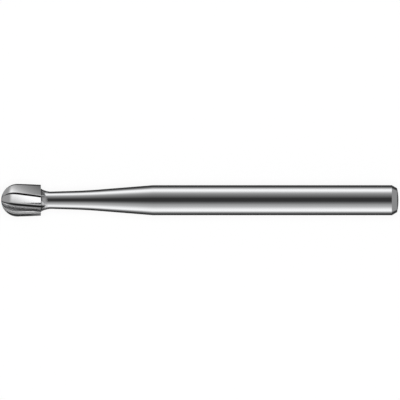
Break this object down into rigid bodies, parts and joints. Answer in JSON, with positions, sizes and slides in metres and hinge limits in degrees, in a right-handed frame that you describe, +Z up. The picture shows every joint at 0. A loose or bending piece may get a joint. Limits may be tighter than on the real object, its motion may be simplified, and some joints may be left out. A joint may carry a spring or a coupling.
{
  "type": "carbide burr",
  "caption": "Small rotary cutting burr: a round-nosed carbide head with helical blades, a flared collar and tapered neck, and a plain cylindrical steel shank.",
  "frame": {"origin": "on the burr's axis, in the plane where the cylindrical shank begins, behind the neck", "axes": "+X along the shank, away from the head; the burr lies on its side with +Z up"},
  "size_m": [0.0212, 0.0018, 0.0016],
  "materials": {
    "carbide": "ground tungsten carbide, fine lengthwise grinding marks",
    "steel": "polished stainless steel, very fine turned marks"
  },
  "bodies": {
    "root": {"carbide_head": "carbide", "steel_shank": "steel"}
  },
  "joints": []
}
